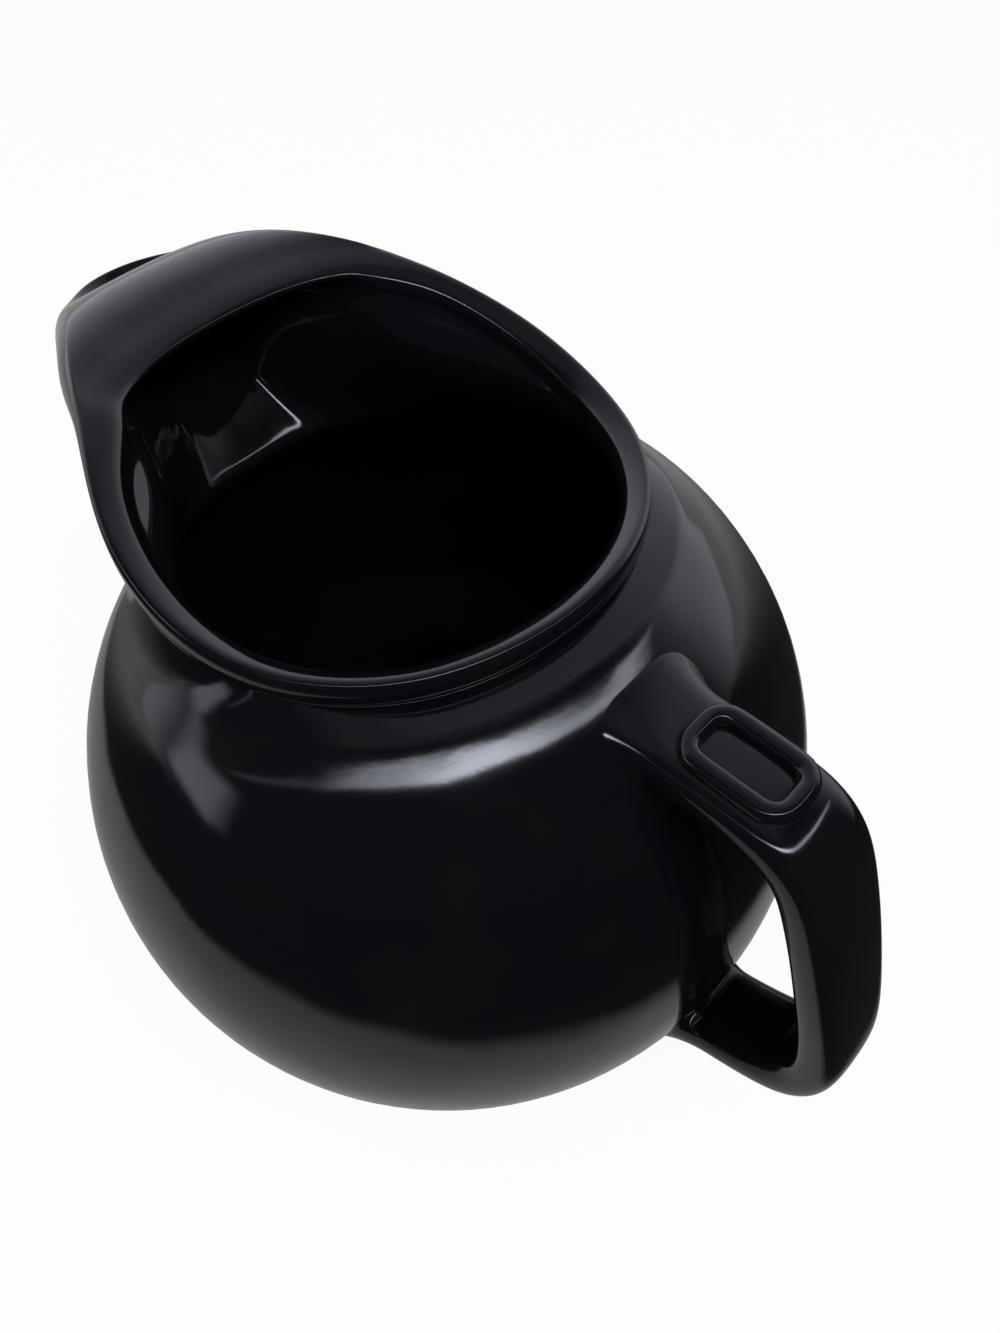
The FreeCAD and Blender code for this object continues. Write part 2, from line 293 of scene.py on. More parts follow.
def black_glaze(look):
    """A deep black glaze: even gloss, a slow ripple, throwing rings on the floor inside, a few pinholes."""
    material = bpy.data.materials.new("deep_black_glaze")
    recipe = Recipe(material)
    place = recipe.flow(recipe.node("ShaderNodeTexCoord"), "Object")
    x, y, z = recipe.axes(place)
    x = x - AXIS_X
    slow = recipe.noise(place, 24.0)
    fine = recipe.noise(place, 260.0, 3.0)
    smoky = recipe.noise(place, 60.0, 4.0)
    radius = (x * x + y * y) ** 0.5
    inside = (1 - z.over(0.010, 0.016)) * (1 - radius.over(0.040, 0.050))
    rings = (radius * RING_SPACING + slow * RING_WANDER).sine() * inside
    pits = recipe.flow(recipe.node(
        "ShaderNodeTexVoronoi", {"feature": "F1"}, Vector=place, Scale=95.0, Randomness=1.0), "Distance")
    chosen = recipe.noise(place, 31.0, 0.0).over(0.66, 0.70)
    pinholes = (1 - pits.over(0.02, 0.07)) * chosen
    relief = slow * RIPPLE_HEIGHT + fine * GRAIN_HEIGHT + rings * RING_HEIGHT - pinholes * PINHOLE_DEPTH
    bump = recipe.node("ShaderNodeBump", None, Strength=1.0, Distance=1.0, Height=relief)
    shade = recipe.mix(smoky.over(0.45, 0.75) * 0.5 + pinholes * 0.4, look.glaze, look.glaze_thin)
    roughness = (1 - look.gloss) + smoky * 0.03 + pinholes * 0.2
    surface = recipe.node(
        "ShaderNodeBsdfPrincipled", None, Base_Color=shade, Roughness=roughness, IOR=GLAZE_IOR,
        Normal=recipe.flow(bump))
    recipe.node("ShaderNodeOutputMaterial", None, Surface=recipe.flow(surface))
    return material


def bare_clay(look):
    """The unglazed foot: fine grain, a little grog and darker patches."""
    material = bpy.data.materials.new("turned_bare_clay")
    recipe = Recipe(material)
    place = recipe.flow(recipe.node("ShaderNodeTexCoord"), "Object")
    grain = recipe.noise(place, 900.0, 6.0)
    patches = recipe.noise(place, 90.0, 3.0)
    grog = recipe.flow(recipe.node("ShaderNodeTexVoronoi", None, Vector=place, Scale=700.0), "Distance")
    dark = tuple(part * 0.6 for part in look.clay)
    shade = recipe.mix(patches.over(0.35, 0.7) * 0.7 + (1 - grog.over(0.0, 0.2)) * 0.3, look.clay, dark)
    bump = recipe.node("ShaderNodeBump", None, Strength=0.6, Distance=0.0003, Height=grain)
    surface = recipe.node(
        "ShaderNodeBsdfPrincipled", None, Base_Color=shade, Roughness=0.75 + grain * 0.15,
        Normal=recipe.flow(bump))
    recipe.node("ShaderNodeOutputMaterial", None, Surface=recipe.flow(surface))
    return material


def glaze_of(context):
    """The jug's glaze, made once and shared by its pieces."""
    return bpy.data.materials.get("deep_black_glaze") or black_glaze(context.scene.jug_finish)


# Curves that the pieces follow

def eased(value):
    """0 below 0, 1 above 1, and smooth between them."""
    value = min(1.0, max(0.0, value))
    return value * value * (3 - 2 * value)


def smooth_height(rows, at):
    """A smooth curve through rows of places and heights."""
    last = len(rows) - 1
    i = max(k for k in range(last) if k == 0 or rows[k][0] <= at)

    def slope(k):
        low, high = rows[max(0, k - 1)], rows[min(last, k + 1)]
        return (high[1] - low[1]) / (high[0] - low[0])

    span = rows[i + 1][0] - rows[i][0]
    t = min(1.0, max(0.0, (at - rows[i][0]) / span))
    keep = 2 * t**3 - 3 * t**2 + 1
    lead = (t**3 - 2 * t**2 + t) * span
    trail = (t**3 - t**2) * span
    return keep * rows[i][1] + (1 - keep) * rows[i + 1][1] + lead * slope(i) + trail * slope(i + 1)


# How far the rolled sides and the widened land reach past the guard, and how slowly they fade
HOOD_REAR_REACH = 9 * MM
HOOD_REAR_FADE = 26 * MM
HOOD_FRONT_REACH = 2 * MM
HOOD_FRONT_FADE = 8 * MM
LAND_FRONT_FADE = 10 * MM
LAND_STARTS = 1.5 * MM
HALVINGS = 40


class Jug:
    """The jug's surfaces, worked out from its sizes. Points are given for the -Y half, from back to tip."""

    def __init__(self, sizes):
        self.sizes = sizes
        self.centre_z = GLOBE_LOW.z + sizes.belly_half_height - sizes.base_cut
        narrowed = sizes.neck_radius / sizes.belly_radius
        self.neck_rise = sizes.belly_half_height * math.sqrt(1 - narrowed**2)
        self.neck_z = self.centre_z + self.neck_rise
        self.slope = math.tan(sizes.neck_tilt)
        self.rim_low = self.neck_z + sizes.rim_rise
        self.back = sizes.mouth_radius - sizes.mouth_offset
        self.arcs = self.mouth_arcs()

    def mouth_arcs(self):
        """Back arc, hollow side arc and spout arc, each tangent to the next."""
        s = self.sizes
        back = Vector((-s.mouth_offset, 0, 0))
        front = Vector((s.spout_radius - s.spout_reach, 0, 0))
        apart = back.x - front.x
        to_back = s.side_radius + s.mouth_radius
        to_front = s.side_radius + s.spout_radius
        along = (to_front**2 - to_back**2 - apart**2) / (2 * apart)
        side = back + Vector((along, -math.sqrt(to_back**2 - along**2), 0))
        turn_back = math.atan2(side.y - back.y, side.x - back.x)
        turn_front = math.atan2(side.y - front.y, side.x - front.x)
        return (
            (back, s.mouth_radius, 0.0, turn_back, 1),
            (side, s.side_radius, turn_back + math.pi, turn_front + math.pi, -1),
            (front, s.spout_radius, turn_front, -math.pi, 1),
        )

    def mouth(self, part):
        """A point of the mouth's outline and its outward direction."""
        left = part * sum(radius * abs(end - start) for _, radius, start, end, _ in self.arcs)
        for middle, radius, start, end, side in self.arcs:
            reach = radius * abs(end - start)
            if left <= reach or end == -math.pi:
                bearing = start + (end - start) * min(1.0, left / reach)
                outward = Vector((math.cos(bearing), math.sin(bearing), 0))
                return middle + outward * radius, outward * side
            left -= reach

    def part_at(self, x):
        """How far round the mouth its outline comes to a distance along the jug."""
        low, high = 0.0, 1.0
        for _ in range(HALVINGS):
            middle = (low + high) / 2
            if self.mouth(middle)[0].x > x:
                low = middle
            else:
                high = middle
        return low

    def crest(self, x):
        s = self.sizes
        along = (self.back - x) / (self.back + s.spout_reach)
        return self.rim_low + s.crest_rise * smooth_height(CREST_SHARES, along)

    def neck(self, inset, part):
        """The ring where the neck's plane cuts the globe, or its inside."""
        s = self.sizes
        radius = s.belly_radius - inset
        half = s.belly_half_height - inset
        squeeze = 1 / radius**2 + (self.slope / half) ** 2
        middle = -self.neck_rise * self.slope / half**2 / squeeze
        spread = 1 - (self.neck_rise / half) ** 2 + squeeze * middle**2
        x = middle + math.sqrt(spread / squeeze) * math.cos(math.pi * part)
        y = -radius * math.sqrt(spread) * math.sin(math.pi * part)
        return Vector((x, y, self.neck_z + self.slope * x))

    def globe(self, inset, low_z, part, way):
        """A place on the globe, or on its inside: way is 0 at the flat and 1 at the neck."""
        s = self.sizes
        half = s.belly_half_height - inset
        top = self.neck(inset, part)
        bearing = math.atan2(top.y, top.x)
        low = math.asin((low_z - self.centre_z) / half)
        high = math.asin((top.z - self.centre_z) / half)
        turn = low + (high - low) * way
        reach = (s.belly_radius - inset) * math.cos(turn)
        z = self.centre_z + half * math.sin(turn)
        return Vector((reach * math.cos(bearing), reach * math.sin(bearing), z))

    def hood(self, x):
        """1 where the guard's rolled sides are, 0 where the plain rim is."""
        s = self.sizes
        rear = eased((s.guard_back - x + HOOD_REAR_REACH) / HOOD_REAR_FADE)
        front = eased((s.guard_front - x + HOOD_FRONT_REACH) / HOOD_FRONT_FADE)
        return rear * (1 - front)

    def widening(self, x):
        """How many times wider the rim's land is, at a distance along the jug."""
        s = self.sizes
        rear = eased((s.guard_back + s.land_reach - x) / s.land_reach)
        front = eased((s.guard_front + LAND_FRONT_FADE - x) / LAND_FRONT_FADE)
        return 1 + s.land_growth * rear * (1 - front)

    def thinning(self, part):
        return 1 - (1 - self.sizes.tip_share) * part**4

    def rim(self, part, plain, hooded):
        """A place on the rim's section: out from the mouth's outline and up from its crest.
        The plain rim's place turns into the hood's where the guard is."""
        edge, outward = self.mouth(part)
        mixed = self.hood(edge.x)
        out = plain[0] + (hooded[0] - plain[0]) * mixed
        up = plain[1] + (hooded[1] - plain[1]) * mixed
        if out < -LAND_STARTS:
            out *= self.thinning(part) * self.widening(edge.x)
        return edge + outward * out + UP * (self.crest(edge.x) + up)

    def rim_sections(self):
        """The rim's section from its underside outside, over its land, to its inside."""
        s = self.sizes
        band, swell, roll = s.rim_band, s.hood_swell, s.hood_roll
        inner = -s.rim_width
        deep = -s.guard_thickness
        return (
            ((-1.6 * MM, -band - 0.8 * MM), (swell * 0.50, -roll * 1.5)),
            ((-1.3 * MM, -band + 0.1 * MM), (swell * 0.80, -roll * 1.2)),
            ((-0.1 * MM, -band + 0.5 * MM), (swell * 0.98, -roll * 0.9)),
            ((0.2 * MM, -band * 0.55), (swell, -roll * 0.58)),
            ((0.0, -band * 0.22), (swell * 0.80, -roll * 0.26)),
            ((-1.0 * MM, 0.0), (swell * 0.30, -roll * 0.05)),
            ((inner * 0.5, -0.9 * MM), (inner * 0.30, deep * 0.16)),
            ((inner * 0.85, -2.0 * MM), (inner * 0.62, deep * 0.55)),
            ((inner, -3.4 * MM), (inner * 0.72, deep)),
            ((inner * 1.02, -band), (inner * 0.76, deep - 4 * MM)),
        )


# The skin's rings. A way is 0 at the bottom of its stretch and 1 at the top
TOP_LEVEL_OF_RIM = 5
LOW_LEVEL_OF_RIM = 8
OUTSIDE_WAYS = (0.0, 0.05, 0.14, 0.26, 0.38, 0.50, 0.62, 0.74, 0.85, 0.93, 0.975)
COLLAR_WAYS = (0.0, 0.10, 0.35, 0.65, 0.90)
INSIDE_WAYS = (0.97, 0.9, 0.8, 0.68, 0.55, 0.42, 0.29, 0.17, 0.07, 0.02)
FLOOR_SHARES = (0.97, 0.80, 0.5, 0.2)
REAR_STATIONS = 11
GUARD_STATIONS = 6
TIP_STATIONS = 5
GUARD_STEPS = 8
WAIST = 0.19

# The guard's levels from top to underside, in mm: the crown, and the bow of its rear and front edges
GUARD_RISES = (0.5, 0.5, 0.2, 0.1)
REAR_PUSHES = (-16.6, -13.4, -11.8, -14.0)
FRONT_PUSHES = (0.0, -0.3, -0.3, 0.0)
CROWN_POWER = 3.2
WELD = 0.00002


def vessel_levels(jug):
    """The vessel's skin as levels, each a place for a part of the way round: from under the flat,
    up the outside, over the rim and down the inside. Also says which level is the rim's first."""
    s = jug.sizes
    flat = GLOBE_LOW.z
    floor = flat + s.floor
    sections = jug.rim_sections()
    levels = []

    def flat_ring(inset, low_z, part_of_radius):
        def at(part):
            edge = jug.globe(inset, low_z, part, 0.0)
            return Vector((edge.x * part_of_radius, edge.y * part_of_radius, low_z))
        return at

    def wall(inset, low_z, way):
        return lambda part: jug.globe(inset, low_z, part, way)

    def collar(inset, way, section):
        def at(part):
            low = jug.neck(inset, part)
            top = jug.rim(part, *section)
            outward = jug.mouth(part)[1]
            waist = outward * (WAIST * (top.z - low.z) * 4 * way * (1 - way))
            return low + (top - low) * way - waist
        return at

    def rim(section):
        return lambda part: jug.rim(part, *section)

    for part_of_radius in reversed(FLOOR_SHARES):
        levels.append(flat_ring(0.0, flat, part_of_radius))
    for way in OUTSIDE_WAYS:
        levels.append(wall(0.0, flat, way))
    for way in COLLAR_WAYS:
        levels.append(collar(0.0, way, sections[0]))
    first_rim = len(levels)
    for section in sections:
        levels.append(rim(section))
    for way in reversed(COLLAR_WAYS):
        levels.append(collar(s.wall, way, sections[-1]))
    for way in INSIDE_WAYS:
        levels.append(wall(s.wall, floor, way))
    for part_of_radius in FLOOR_SHARES:
        levels.append(flat_ring(s.wall, floor, part_of_radius))
    return levels, first_rim


def station_parts(jug):
    """Places round half of the mouth, with one at each end of the guard. Also says which those are."""
    s = jug.sizes
    rear = jug.part_at(s.guard_back)
    front = jug.part_at(s.guard_front)
    parts = [rear * i / REAR_STATIONS for i in range(REAR_STATIONS)]
    parts += [rear + (front - rear) * i / GUARD_STATIONS for i in range(GUARD_STATIONS)]
    parts += [front + (1 - front) * i / TIP_STATIONS for i in range(TIP_STATIONS + 1)]
    return parts, REAR_STATIONS, REAR_STATIONS + GUARD_STATIONS


def mirrored(point):
    return Vector((point.x, -point.y, point.z))


class Skin:
    """A skin grown ring by ring. Each vertex remembers its ring and its station."""

    def __init__(self, count):
        self.mesh = bmesh.new()
        self.station = self.mesh.verts.layers.int.new("station")
        self.level = self.mesh.verts.layers.int.new("level")
        made = bmesh.ops.create_circle(self.mesh, segments=count, radius=1)
        for number, vertex in enumerate(made["verts"]):
            vertex[self.station] = number
        self.rim = list(self.mesh.edges)

    def grow(self, place, level):
        """Extrudes the open edges once, and puts each new vertex where place says for its station."""
        made = bmesh.ops.extrude_edge_only(self.mesh, edges=self.rim)["geom"]
        self.rim = [item for item in made if isinstance(item, bmesh.types.BMEdge)]
        self.put(place, level)

    def put(self, place, level):
        for vertex in {v for edge in self.rim for v in edge.verts}:
            vertex[self.level] = level
            vertex.co = place(vertex[self.station])

    def close(self):
        bmesh.ops.contextual_create(self.mesh, geom=self.rim)


def grown_skin(count, places):
    """A closed skin through all the places, one ring for each."""
    skin = Skin(count)
    skin.put(places[0], 0)
    skin.close()
    for number, place in enumerate(places[1:], 1):
        skin.grow(place, number)
    skin.close()
    return skin


def across(left, right, way, lift, push):
    """A place across the guard: lift is how far it crowns, push how far it bows along the jug."""
    crown = 1 - abs(2 * way - 1) ** CROWN_POWER
    bow = math.sqrt(max(0.0, 1 - (2 * way - 1) ** 2))
    return left.lerp(right, way) + UP * (lift * crown) + Vector((push * bow, 0, 0))


def add_guard(skin, levels, parts, first_rim, rear, front):
    """Opens the rim's land beside the guard and bridges the mouth there: a top, an underside,
    and a rolled edge before and behind."""
    count = 2 * (len(parts) - 1)
    low = first_rim + LOW_LEVEL_OF_RIM
    top = first_rim + TOP_LEVEL_OF_RIM
    mesh = skin.mesh
    guard = range(rear, front + 1)

    def between(face):
        stations = [v[skin.station] for v in face.verts]
        sides = [min(n, count - n) for n in stations]
        heights = [v[skin.level] for v in face.verts]
        return all(n in guard for n in sides) and min(heights) >= top and max(heights) <= low

    opened = [face for face in mesh.faces if between(face)]
    bmesh.ops.delete(mesh, geom=opened, context="FACES")
    ways = [(1 - math.cos(math.pi * i / GUARD_STEPS)) / 2 for i in range(1, GUARD_STEPS + 1)]

    def bridge(chain, place):
        """Grows a chain of vertices across the mouth, until it meets its mirror image."""
        for way in ways:
            made = bmesh.ops.extrude_edge_only(mesh, edges=chain)["geom"]
            chain = [item for item in made if isinstance(item, bmesh.types.BMEdge)]
            for vertex in {v for edge in chain for v in edge.verts}:
                vertex.co = place(vertex[skin.station], vertex[skin.level], way)

    def chain_of(test):
        chosen = []
        for edge in mesh.edges:
            ends = [(v[skin.station], v[skin.level]) for v in edge.verts]
            if all(station <= count // 2 and test(station, level) for station, level in ends):
                chosen.append(edge)
        return chosen

    def placed(pushes, fade):
        """Places for a chain: fade says how much of the bow a station gets."""
        def place(station, level, way):
            left = levels[level](parts[station])
            push = fade(station) * pushes[level - top] * MM
            return across(left, mirrored(left), way, GUARD_RISES[level - top] * MM, push)
        return place

    face = placed(REAR_PUSHES, lambda station: (front - station) / (front - rear))
    rear_edge = placed(REAR_PUSHES, lambda station: 1)
    front_edge = placed(FRONT_PUSHES, lambda station: 1)
    marked = [
        (chain_of(lambda n, k: n in guard and k == top), face),
        (chain_of(lambda n, k: n in guard and k == low), face),
        (chain_of(lambda n, k: n == rear and top <= k <= low), rear_edge),
        (chain_of(lambda n, k: n == front and top <= k <= low), front_edge),
    ]
    for chain, place in marked:
        bridge(chain, place)
    bmesh.ops.remove_doubles(mesh, verts=mesh.verts, dist=WELD)


def hold_shape(skin, levels, rounds=3):
    """Moves these rings until the smoothed surface, and not its cage, lies where they were put."""
    wanted = {v: v.co.copy() for v in skin.mesh.verts if v[skin.level] in levels}
    for _ in range(rounds):
        moves = []
        for vertex, place in wanted.items():
            beside = [edge.other_vert(vertex) for edge in vertex.link_edges]
            count = len(beside)
            total = vertex.co * count**2
            for other in beside:
                total += other.co * 4
            for face in vertex.link_faces:
                for other in face.verts:
                    if other is not vertex and other not in beside:
                        total += other.co
            moves.append((vertex, place - total / (count * (count + 5))))
        for vertex, move in moves:
            vertex.co += move


def finish_piece(mesh, name, material, smoothing, *replaced):
    """Turns a bmesh drawn round the globe's axis into a smooth piece that stands for CAD nodes."""
    bmesh.ops.translate(mesh, vec=(AXIS_X, 0, 0), verts=mesh.verts)
    bmesh.ops.recalc_face_normals(mesh, faces=mesh.faces)
    data = bpy.data.meshes.new(name)
    mesh.to_mesh(data)
    mesh.free()
    data.shade_smooth()
    piece = bpy.data.objects.new(name, data)
    bpy.context.scene.collection.objects.link(piece)
    smooth = piece.modifiers.new("Smooth skin", "SUBSURF")
    smooth.levels = smoothing
    smooth.render_levels = smoothing
    data.materials.append(material)
    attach(piece, "root")
    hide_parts(*replaced)


class JUG_OT_vessel(bpy.types.Operator):
    """Makes the globe, the collar, the rim, the beak and the ice guard as one glazed skin"""
    bl_idname = "ball_jug.vessel"
    bl_label = "Glazed vessel"

    def execute(self, context):
        jug = Jug(context.scene.jug_vessel)
        parts, rear, front = station_parts(jug)
        count = 2 * (len(parts) - 1)
        levels, first_rim = vessel_levels(jug)

        def ring(level):
            def place(station):
                if station <= count // 2:
                    return level(parts[station])
                return mirrored(level(parts[count - station]))
            return place

        skin = grown_skin(count, [ring(level) for level in levels])
        globe_starts = len(FLOOR_SHARES) + 1
        hold_shape(skin, range(globe_starts, globe_starts + len(OUTSIDE_WAYS) - 2))
        add_guard(skin, levels, parts, first_rim, rear, front)
        finish_piece(
            skin.mesh, "glazed_vessel", glaze_of(context), 2,
            "body_globe", "neck_collar", "rim_lip", "spout_beak", "ice_guard")
        return {"FINISHED"}


# Handle

HANDLE_STEPS = 34
SECTION_VERTICES = 20
ROOT_WAYS = (0.25, 0.5, 0.72, 0.9, 1.0)
ROOT_SINK = 0.0006
FINE_STEPS = 12

# Powers that flatten a circle into the strap's section, across it and through it
ACROSS_POWER = 0.62
THROUGH_POWER = 0.74


def strap_points(jug, handle):
    """The strap's centreline, from the upper root to the lower one."""
    s = jug.sizes

    def reach(rise):
        return s.belly_radius * math.sqrt(1 - (rise / s.belly_half_height) ** 2)

    outer = s.belly_radius + handle.gap + handle.thickness / 2
    foot = jug.centre_z - handle.foot_drop
    top_rise = jug.neck_rise - handle.top_drop
    tall = top_rise + handle.foot_drop
    upper = reach(top_rise) + handle.upper_root
    lower = reach(handle.foot_drop) + handle.lower_root
    points = []
    for start, rows in ((upper, STRAP_TOP_SHARES), (lower, STRAP_LOW_SHARES)):
        for out, up in rows:
            points.append(Vector((start + (outer - start) * out, 0, foot + tall * up)))
    return points


def even_route(points, steps):
    """Evenly spaced places and directions on a smooth curve through the points."""
    dense = []
    for i in range(len(points) - 1):
        before, here = points[max(0, i - 1)], points[i]
        there, after = points[i + 1], points[min(len(points) - 1, i + 2)]
        for k in range(FINE_STEPS):
            t = k / FINE_STEPS
            keep = 2 * t**3 - 3 * t**2 + 1
            lead = (there - before) * (t**3 - 2 * t**2 + t) / 2
            trail = (after - here) * (t**3 - t**2) / 2
            dense.append(here * keep + there * (1 - keep) + lead + trail)
    dense.append(points[-1])
    total = sum((b - a).length for a, b in zip(dense, dense[1:]))
    route = []
    walked = 0.0
    i = 0
    for k in range(steps + 1):
        target = total * k / steps
        while i < len(dense) - 2 and walked + (dense[i + 1] - dense[i]).length < target:
            walked += (dense[i + 1] - dense[i]).length
            i += 1
        span = dense[i + 1] - dense[i]
        route.append((dense[i] + span * min(1.0, (target - walked) / span.length), span.normalized()))
    return route


def section_place(handle, number, along, grow=0.0):
    """A vertex of the strap's rounded section, from its middle."""
    turn = 2 * math.pi * number / SECTION_VERTICES
    out = ACROSS.cross(along).normalized()

    def flattened(value, power):
        return math.copysign(abs(value) ** power, value)

    wide = flattened(math.cos(turn), ACROSS_POWER) * (handle.width / 2 + grow)
    tall = flattened(math.sin(turn), THROUGH_POWER) * (handle.thickness / 2 + grow)
    return ACROSS * wide + out * tall


def meet_globe(jug, point, direction, sink):
    """Where a line from point comes to the globe, a little under its surface."""
    s = jug.sizes
    a, b = s.belly_radius - sink, s.belly_half_height - sink
    squash = Vector((1 / a, 1 / a, 1 / b))
    p = (point - Vector((0, 0, jug.centre_z))) * squash
    d = direction * squash
    half = p.dot(d)
    inner = half**2 - d.dot(d) * (p.dot(p) - 1)
    if inner < 0:
        raise RuntimeError("the handle's root misses the globe")
    return point + direction * ((-half - math.sqrt(inner)) / d.dot(d))


class JUG_OT_handle(bpy.types.Operator):
    """Draws the strap handle and fillets both of its roots into the globe"""
    bl_idname = "ball_jug.handle"
    bl_label = "Strap handle"

    def execute(self, context):
        jug = Jug(context.scene.jug_vessel)
        handle = context.scene.jug_handle
        route = even_route(strap_points(jug, handle), HANDLE_STEPS)

        def section(middle, along):
            return lambda number: middle + section_place(handle, number, along)

        def root(middle, along, inward, flare, way):
            def place(number):
                grow = flare * (1 - math.sqrt(1 - way * way))
                spread = middle + section_place(handle, number, along, grow)
                landed = meet_globe(jug, spread, inward, ROOT_SINK)
                return spread + (landed - spread) * way
            return place

        first, first_along = route[0]
        last, last_along = route[-1]
        places = []
        for way in reversed(ROOT_WAYS):
            places.append(root(first, first_along, -first_along, handle.upper_flare, way))
        for middle, along in route:
            places.append(section(middle, along))
        for way in ROOT_WAYS:
            places.append(root(last, last_along, last_along, handle.lower_flare, way))
        skin = grown_skin(SECTION_VERTICES, places)
        finish_piece(
            skin.mesh, "strap_handle", glaze_of(context), 2,
            "handle_strap", "upper_handle_root", "lower_handle_root")
        return {"FINISHED"}


REST_EXTRA_LENGTH = 1.2 * MM
REST_RIM_VERTICES = 12
REST_CORNER_STEPS = 5
REST_SWELL = 1.25
REST_WELD = 0.00001


class JUG_OT_thumb_rest(bpy.types.Operator):
    """Makes the thumb rest's rounded rim, half sunk in the top of the strap"""
    bl_idname = "ball_jug.thumb_rest"
    bl_label = "Thumb rest"

    def execute(self, context):
        jug = Jug(context.scene.jug_vessel)
        handle = context.scene.jug_handle
        length_along = REST_HIGH.x - REST_LOW.x + REST_EXTRA_LENGTH
        half_x = length_along / 2 - handle.rest_rim / 2 - handle.rest_corner
        half_y = (handle.rest_width - handle.rest_rim) / 2 - handle.rest_corner
        mesh = bmesh.new()
        bmesh.ops.create_circle(mesh, segments=REST_RIM_VERTICES, radius=1)
        stretch = Matrix.Diagonal((handle.rest_rim / 2, handle.rest_height * REST_SWELL, 1, 1))
        stand = Matrix.Rotation(math.pi / 2, 4, "X")
        move = Matrix.Translation((half_x + handle.rest_corner, -half_y, 0))
        bmesh.ops.transform(mesh, matrix=move @ stand @ stretch, verts=mesh.verts)
        ring = list(mesh.edges)
        corners = ((half_x, half_y), (-half_x, half_y), (-half_x, -half_y), (half_x, -half_y))
        runs = ((0, 2 * half_y), (-2 * half_x, 0), (0, -2 * half_y), (2 * half_x, 0))
        for (x, y), run in zip(corners, runs):
            made = bmesh.ops.extrude_edge_only(mesh, edges=ring)["geom"]
            moved = [item for item in made if isinstance(item, bmesh.types.BMVert)]
            bmesh.ops.translate(mesh, vec=(*run, 0), verts=moved)
            ring = [item for item in made if isinstance(item, bmesh.types.BMEdge)]
            made = bmesh.ops.spin(
                mesh, geom=ring, cent=(x, y, 0), axis=(0, 0, 1), angle=math.pi / 2,
                steps=REST_CORNER_STEPS, use_merge=False)["geom_last"]
            ring = [item for item in made if isinstance(item, bmesh.types.BMEdge)]
        bmesh.ops.remove_doubles(mesh, verts=mesh.verts, dist=REST_WELD)
        top = jug.neck_z - handle.top_drop + handle.thickness / 2
        middle = (REST_LOW.x + REST_HIGH.x) / 2 - AXIS_X
        seat = Matrix.Translation((middle, 0, top)) @ Matrix.Rotation(handle.rest_tilt, 4, "Y")
        bmesh.ops.transform(mesh, matrix=seat, verts=mesh.verts)
        finish_piece(mesh, "thumb_rest_rim", glaze_of(context), 1, "thumb_rest")
        return {"FINISHED"}


class JUG_OT_foot(bpy.types.Operator):
    """Gives the turned foot ring its bare clay"""
    bl_idname = "ball_jug.foot"
    bl_label = "Foot ring"

    def execute(self, context):
        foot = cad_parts["foot_ring"]
        clay = bare_clay(context.scene.jug_finish)
        for slot in foot.material_slots:
            slot.material = clay
        return {"FINISHED"}


# Stage

CAMERA_AZIMUTH = math.radians(45.5)
CAMERA_ELEVATION = math.radians(51.1)
CAMERA_ROLL = math.radians(-2.8)
FOCAL_PIXELS = 990.0
IMAGE_PIXELS = (1000.0, 1333.0)
CENTRE_PIXEL = (453.4, 740.1)
DISTANCE_IN_RADII = 2.944
SENSOR = 36.0
FLOOR_HALF_SIZE = 3.0

# Brightness of what the glaze mirrors
# The floor's painted reflection: how brightly the floor glows for reflected rays near the jug, behind it, and
# elsewhere
SHEET = 0.32
BEYOND = 0.45
PAINTED_REFLECTION_BASE = 0.02
BEHIND = 0.95
CEILING = 0.14
WINDOW = 1.3
DIM_ROOM = 0.028
LAMP_LEFT_HALF = 4.5
LAMP_MIDDLE = 7.5
LAMP_EVERYWHERE = 0.5

# The mirrored lamp, in heights above the jug: how far ahead, its bends, and its brightest place aside
LAMP_AHEAD = 0.91
LAMP_BEND_LEFT = 0.083
LAMP_BEND_RIGHT = 0.28
LAMP_BRIGHTEST = 0.17

FLOOR_SEEN = 0.93
ROOM_LIGHT = 0.62


def camera_matrix(jug):
    """The photograph's camera: it sees the globe's centre at its pixel, from its distance."""
    a, e, r = CAMERA_AZIMUTH, CAMERA_ELEVATION, CAMERA_ROLL
    back = Vector((math.sin(a) * math.cos(e), -math.cos(a) * math.cos(e), math.sin(e)))
    level = Vector((math.cos(a), math.sin(a), 0))
    upright = back.cross(level)
    right = level * math.cos(r) + upright * math.sin(r)
    top = upright * math.cos(r) - level * math.sin(r)
    sight = (
        right * ((CENTRE_PIXEL[0] - IMAGE_PIXELS[0] / 2) / FOCAL_PIXELS)
        - top * ((CENTRE_PIXEL[1] - IMAGE_PIXELS[1] / 2) / FOCAL_PIXELS)
        - back)
    centre = Vector((AXIS_X, 0, jug.centre_z))
    spot = centre - sight.normalized() * (DISTANCE_IN_RADII * jug.sizes.belly_radius)
    turned = Matrix((right, top, back)).transposed().to_4x4()
    return Matrix.Translation(spot) @ turned


